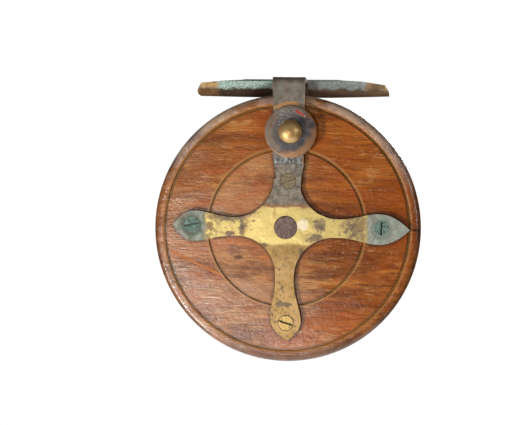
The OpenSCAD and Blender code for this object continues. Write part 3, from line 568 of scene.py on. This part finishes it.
def disc_bronze():
    s = Surface("disc_bronze", 4.4)
    mid = s.noise(s.seeded, 300.0, 5.0, 0.68)
    fine = s.noise(s.seeded, 1300.0, 4.0, 0.7)
    cloud = s.noise(s.seeded, 130.0, 5.0, 0.62, 0.8)
    radius = s.reach(DISC)
    from_left = s.math("MULTIPLY", s.math("SUBTRACT", s.x, DISC.x), -1 / DISC_R)
    slate = s.mix(s.step(mid, 0.38, 0.62), srgb(70, 66, 66), srgb(120, 110, 102))
    upper_left = s.vector("DOT_PRODUCT", s.offset(DISC), (-0.70, 0.0, 0.71))
    slate = s.mix(s.both(s.step(upper_left, 0.0, 7 * MM), 0.5), slate, srgb(164, 152, 140))
    slate = s.mix(s.both(s.step(s.math("ADD", from_left, cloud), 0.6, 1.3), 0.6), slate, srgb(144, 120, 100))
    # Brown copper showing through in smears
    smear = s.both(s.step(cloud, 0.50, 0.60), s.step(mid, 0.40, 0.56), 0.8)
    slate = s.mix(smear, slate, srgb(132, 90, 62))
    dark_ring = s.close_to(s.math("ADD", radius, s.math("MULTIPLY", cloud, 0.003)), 8.6 * MM, 2.2 * MM)
    slate = s.mix(s.both(dark_ring, 0.5), slate, srgb(66, 68, 76))
    # White and green specks at the upper left
    spot = s.reach(DISC + Vector((-2.5, 0, 7.0)) * MM)
    specks = s.both(s.step(spot, 8.0 * MM, 2.5 * MM), s.step(fine, 0.52, 0.62), 0.8)
    slate = s.mix(specks, slate, srgb(190, 198, 192))
    # A dab of old red paint at the upper right
    dab = s.vector("SUBTRACT", s.offset(DISC), (4.4 * MM, 0, 8.9 * MM))
    turn = s.tree.nodes.new("ShaderNodeVectorRotate")
    turn.rotation_type = "Y_AXIS"
    turn.inputs["Angle"].default_value = math.radians(-30)
    s.feed(turn.inputs["Vector"], dab)
    oval = s.vector("LENGTH", s.stretched(turn.outputs[0], (1.0, 0.0, 3.4)), (0, 0, 0))
    oval = s.math("ADD", oval, s.sway(mid, 0.007))
    chalky = s.both(s.step(oval, 3.6 * MM, 2.8 * MM), s.step(fine, 0.40, 0.56))
    slate = s.mix(chalky, slate, srgb(190, 180, 170))
    red = s.both(s.step(oval, 2.7 * MM, 1.9 * MM), s.step(fine, 0.34, 0.46))
    slate = s.mix(red, slate, srgb(206, 88, 66))
    # Bare copper round the lower right edge
    lean = s.vector("DOT_PRODUCT", s.offset(DISC), (0.55, 0.0, -0.83))
    low_side = s.step(s.math("ADD", lean, s.sway(cloud, 0.016)), 3 * MM, 7 * MM)
    ring = s.step(s.math("ADD", radius, s.math("MULTIPLY", mid, 0.006)), DISC_R - 2.0 * MM, DISC_R + 1.2 * MM)
    very_rim = s.step(radius, DISC_R - 0.8 * MM, DISC_R - 0.2 * MM)
    bare = s.either(s.both(ring, low_side, 0.85), s.both(very_rim, s.step(mid, 0.4, 0.6), 0.6))
    mask = s.without(bare)
    patina(s, srgb(176, 128, 88), mask, slate, 0.42, s.between(fine, 0.34, 0.50))
    s.set("Normal", s.bump(fine, 0.12 * MM, 0.7, s.bump(mid, 0.4 * MM, 0.4)))
    return s


def dome_brass():
    s = Surface("dome_brass", 6.6)
    mid = s.noise(s.seeded, 300.0, 4.0, 0.6)
    fine = s.noise(s.seeded, 1600.0, 3.0, 0.6)
    metal = s.mix(s.step(mid, 0.35, 0.65), srgb(204, 160, 98), srgb(228, 192, 132))
    base_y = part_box("brake_dome")[1].y
    skirt = s.step(s.y, base_y - 1.9 * MM, base_y - 1.2 * MM)
    darkened = s.either(s.both(skirt, s.step(mid, 0.30, 0.5)), s.both(s.step(fine, 0.58, 0.68), 0.5))
    patina(s, metal, darkened, srgb(112, 88, 58), s.between(mid, 0.42, 0.50), 0.5)
    s.set("Normal", s.bump(fine, 0.05 * MM, 0.5, s.bump(mid, 0.25 * MM, 0.3)))
    return s


def rusty_steel():
    s = Surface("spindle_steel", 9.2)
    mid = s.noise(s.seeded, 420.0, 5.0, 0.7)
    fine = s.noise(s.seeded, 1700.0, 4.0, 0.7)
    rust = s.mix(s.step(mid, 0.34, 0.66), srgb(98, 76, 68), srgb(158, 132, 120))
    rust = s.mix(s.step(fine, 0.56, 0.66), rust, srgb(62, 44, 40))
    s.set("Base Color", rust)
    s.set("Metallic", 0.3)
    s.set("Roughness", s.between(mid, 0.5, 0.72))
    s.set("Normal", s.bump(fine, 0.18 * MM, 0.9, s.bump(mid, 0.4 * MM, 0.6)))
    return s


def turned_brass(name, seed, light, dark, dull):
    """Lathe-turned brass with fine rings round the spindle and a share of dull tarnish."""
    s = Surface(name, seed)
    mid = s.noise(s.seeded, 260.0, 5.0, 0.65)
    fine = s.noise(s.seeded, 1500.0, 3.0)
    rings = s.noise(s.stretched(s.seeded, (2, 2600, 2)), 1.0, 2.0)
    metal = s.mix(s.step(mid, 0.36, 0.64), dark, light)
    clouds = s.both(s.step(mid, 0.56 - 0.2 * dull, 0.70), 0.85)
    mask = s.either(clouds, s.both(s.step(fine, 0.60, 0.70), 0.5))
    patina(s, metal, mask, srgb(110, 88, 58), s.between(rings, 0.24, 0.40), 0.56)
    s.set("Normal", s.bump(s.math("ADD", fine, rings), 0.05 * MM, 0.5))
    return s


def screw_brass():
    """Screw heads: brass with black dirt in the slots, and verdigris on the two side screws of the star."""
    s = Surface("screw_brass", 7.7)
    mid = s.noise(s.seeded, 500.0, 4.0, 0.65)
    fine = s.noise(s.seeded, 1800.0, 3.0)
    metal = s.mix(s.step(mid, 0.36, 0.64), srgb(196, 158, 92), srgb(226, 192, 120))
    on_star = s.step(s.y, BACK_Y, BACK_Y - 1.0 * MM)
    slot = s.step(s.y, STAR_Y + 0.05 * MM, STAR_Y + 0.16 * MM)
    slot = s.both(slot, s.step(s.y, STAR_Y + 1.2 * MM, STAR_Y + 0.9 * MM), on_star)
    side = s.both(s.step(s.math("ABSOLUTE", s.x), TIP, TIP + 2 * MM), on_star)
    above_hub = s.math("SUBTRACT", s.z, HUB.z)
    upper = s.both(s.step(above_hub, 14 * MM, 16 * MM), on_star)
    crust = s.mix(s.step(fine, 0.42, 0.60), srgb(74, 100, 86), srgb(140, 166, 150))
    coat = s.mix(side, srgb(118, 98, 66), crust)
    coat = s.mix(slot, coat, s.mix(side, srgb(84, 62, 38), srgb(62, 78, 66)))
    dull = s.both(s.step(mid, 0.54, 0.62), 0.8)
    coat = s.mix(s.both(upper, s.step(fine, 0.40, 0.56)), coat, srgb(150, 138, 116))
    mask = s.either(side, s.both(upper, 0.9), slot, dull)
    patina(s, metal, mask, coat, 0.40, 0.62)
    s.set("Normal", s.bump(fine, 0.10 * MM, 0.7, s.bump(mid, 0.2 * MM, 0.4)))
    return s


def pin_steel():
    s = Surface("pin_steel", 10.4)
    mid = s.noise(s.seeded, 380.0, 4.0, 0.65)
    fine = s.noise(s.seeded, 1700.0, 3.0)
    rust = s.step(mid, 0.50, 0.66)
    patina(s, srgb(168, 164, 158), rust, srgb(98, 76, 62), s.between(fine, 0.26, 0.40), 0.6)
    s.set("Normal", s.bump(fine, 0.06 * MM, 0.6))
    return s


# ---- horn and leather ----


def horn():
    """Polished dark horn, with paler streaks along each handle."""
    s = Surface("horn", 11.3)
    warp = s.noise(s.seeded, 90.0, 3.0)
    run = s.stretched(s.seeded, (320, 34, 320))
    streaks = s.noise(run, 1.0, 4.0, 0.6, 0.6)
    cloud = s.noise(s.seeded, 75.0, 3.0)
    colour = s.ramp(s.math("ADD", streaks, s.sway(cloud, 0.5)), [
        (0.30, srgb(26, 22, 20)), (0.50, srgb(48, 38, 32)),
        (0.62, srgb(92, 70, 50)), (0.76, srgb(150, 122, 88))
    ])
    s.set("Base Color", colour)
    s.set("Roughness", s.between(warp, 0.16, 0.30))
    s.set("Coat Weight", 0.4)
    s.set("Coat Roughness", 0.12)
    s.set("Normal", s.bump(streaks, 0.08 * MM, 0.4))
    return s


def oiled_leather():
    s = Surface("brake_leather", 12.8)
    grain = s.cells(s.seeded, 1800.0)
    mid = s.noise(s.seeded, 300.0, 5.0)
    s.set("Base Color", s.mix(s.step(mid, 0.35, 0.65), srgb(70, 42, 26), srgb(112, 72, 44)))
    s.set("Roughness", s.between(mid, 0.55, 0.75))
    s.set("Normal", s.bump(grain, 0.12 * MM, 0.7))
    return s


# ---- shapes ----

WELD_GAP = 1e-6
EDGE_SEGMENTS = 3
EDGE_ANGLE = math.radians(32)
FACE_WEIGHT = 100
# Widths of the rounded edges, in millimetres
EDGE_WIDTHS = {
    "star_frame": 0.46, "foot_strap": 0.45, "foot": 0.60, "brake_disc": 0.25, "handle_plates": 0.30,
    "front_bush_plate": 0.12, "handle_caps": 0.2, "spindle_washer": 0.15, "spindle_nut": 0.12,
    "star_screws": 0.18, "flange_screws": 0.15, "back_plate": 0.2, "brake_dome": 0.2
}


def soften(node, width):
    """Rounds a CAD node's sharp edges for show, as handling and polish have."""
    piece = frame["nodes"][node]
    weld = piece.modifiers.new("weld", "WELD")
    weld.merge_threshold = WELD_GAP
    bevel = piece.modifiers.new("soft_edges", "BEVEL")
    bevel.width = width
    bevel.segments = EDGE_SEGMENTS
    bevel.limit_method = "ANGLE"
    bevel.angle_limit = EDGE_ANGLE
    bevel.use_clamp_overlap = True
    smooth = piece.modifiers.new("even_shading", "WEIGHTED_NORMAL")
    smooth.keep_sharp = True
    smooth.weight = FACE_WEIGHT


# ---- studio ----

WHITE = (1.0, 1.0, 1.0, 1.0)
FLOOR_RADIUS = 0.42
FLOOR_DROP = 0.34
FLOOR_CORNERS = 96
FLOOR_TINTS = ((0.93, 0.93, 0.93, 1), (0.97, 0.97, 0.975, 1))
FLOOR_GLOW = 0.62
SURROUND_LIGHT = 0.03
SURROUND_SEEN = 1.02
# Each lamp's place from the hub in metres, its diameter and its power
LAMPS = {
    "key_low_left": ((-0.46, -0.46, -0.34), 0.12, 3.6),
    "glare_left": ((-0.22, -0.90, -0.17), 0.12, 1.7),
    "fill_above": ((0.30, -0.60, 0.75), 0.50, 0.4),
    "fill_right": ((0.74, -0.56, 0.20), 0.26, 1.4),
    "front_fill": ((0.25, 1.10, 0.55), 0.60, 8.0)
}


def make_studio():
    """A plain pale floor well below the reel, a white surround and soft lamps, the key at the lower left."""
    floor_z = cad_bounds[0][2] - FLOOR_DROP
    turns = [2 * math.pi * i / FLOOR_CORNERS for i in range(FLOOR_CORNERS)]
    mesh = bpy.data.meshes.new("floor")
    edge = [(FLOOR_RADIUS * math.cos(turn), FLOOR_RADIUS * math.sin(turn), floor_z) for turn in turns]
    mesh.from_pydata(edge, [], [tuple(range(FLOOR_CORNERS))])
    floor = bpy.data.objects.new("floor", mesh)
    bpy.context.scene.collection.objects.link(floor)
    s = Surface("pale_floor", 0.3)
    tint = s.noise(s.seeded, 1.3, 2.0)
    s.set("Base Color", s.mix(tint, *FLOOR_TINTS))
    s.set("Roughness", 0.8)
    s.set("Specular IOR Level", 0.1)
    s.set("Emission Color", WHITE)
    s.set("Emission Strength", FLOOR_GLOW)
    floor.data.materials.append(s.material)

    world = bpy.data.worlds.new("studio")
    bpy.context.scene.world = world
    world.use_nodes = True
    tree = world.node_tree
    back = tree.nodes["Background"]
    back.inputs["Color"].default_value = WHITE
    back.inputs["Strength"].default_value = SURROUND_LIGHT
    seen = tree.nodes.new("ShaderNodeBackground")
    seen.inputs["Color"].default_value = WHITE
    seen.inputs["Strength"].default_value = SURROUND_SEEN
    path = tree.nodes.new("ShaderNodeLightPath")
    choose = tree.nodes.new("ShaderNodeMixShader")
    tree.links.new(path.outputs["Is Camera Ray"], choose.inputs[0])
    tree.links.new(back.outputs[0], choose.inputs[1])
    tree.links.new(seen.outputs[0], choose.inputs[2])
    tree.links.new(choose.outputs[0], tree.nodes["World Output"].inputs["Surface"])

    for name, (place, size, power) in LAMPS.items():
        light = bpy.data.lights.new(name, "AREA")
        light.shape = "DISK"
        light.size = size
        light.energy = power
        holder = bpy.data.objects.new(name, light)
        holder.location = HUB + Vector(place)
        holder.rotation_euler = (HUB - holder.location).to_track_quat("-Z", "Y").to_euler()
        bpy.context.scene.collection.objects.link(holder)


# ---- camera ----

# The photograph's view: a little right of square on and a little tilted, with the hub right of the middle
VIEW_AZIMUTH = math.radians(4.9)
VIEW_ROLL = math.radians(1.3)
VIEW_DISTANCE = 0.55
VIEW_SCALE = 0.4757 * MM
FRAME_W = 510
SENSOR = 36.0
HUB_RIGHT = 30.9 * VIEW_SCALE
HUB_DOWN = 15.0 * VIEW_SCALE


def make_camera():
    target = Vector((HUB.x, BACK_Y, HUB.z))
    ahead = Vector((-math.sin(VIEW_AZIMUTH), math.cos(VIEW_AZIMUTH), 0))
    flat_right = Vector((math.cos(VIEW_AZIMUTH), math.sin(VIEW_AZIMUTH), 0))
    flat_up = Vector((0, 0, 1))
    right = flat_right * math.cos(VIEW_ROLL) + flat_up * math.sin(VIEW_ROLL)
    up = flat_up * math.cos(VIEW_ROLL) - flat_right * math.sin(VIEW_ROLL)
    eye = target - ahead * VIEW_DISTANCE
    aim = target - right * HUB_RIGHT + up * HUB_DOWN
    look = (aim - eye).normalized()
    right = look.cross(up).normalized()
    up = right.cross(look)
    data = bpy.data.cameras.new("camera")
    data.sensor_width = SENSOR
    data.lens = SENSOR * VIEW_DISTANCE / (FRAME_W * VIEW_SCALE)
    camera = bpy.data.objects.new("camera", data)
    turn = Matrix((right, up, -look)).transposed()
    camera.matrix_world = Matrix.Translation(eye) @ turn.to_4x4()
    bpy.context.scene.collection.objects.link(camera)
    bpy.context.scene.camera = camera
    bpy.context.scene.view_settings.view_transform = "Standard"


make_camera()
make_studio()

bearing = turned_brass("bearing_brass", 13.1, srgb(214, 176, 104), srgb(176, 138, 78), 0.5)
plates = turned_brass("plate_brass", 14.9, srgb(228, 192, 112), srgb(190, 150, 82), 0.2)
SURFACES = {
    "back_wood": back_wood(), "drum_wood": drum_wood(), "star_brass": star_brass(),
    "strap_brass": strap_brass(), "foot_brass": foot_brass(), "screw_brass": screw_brass(),
    "spindle_steel": rusty_steel(), "pin_steel": pin_steel(), "bearing_brass": bearing,
    "plate_brass": plates, "horn": horn(), "disc_bronze": disc_bronze(), "dome_brass": dome_brass(),
    "brake_leather": oiled_leather()
}
for part in frame["record"]["subparts"]:
    paint(part["node"], SURFACES[part["material_slot"]])

for name, width in EDGE_WIDTHS.items():
    soften(name, width * MM)
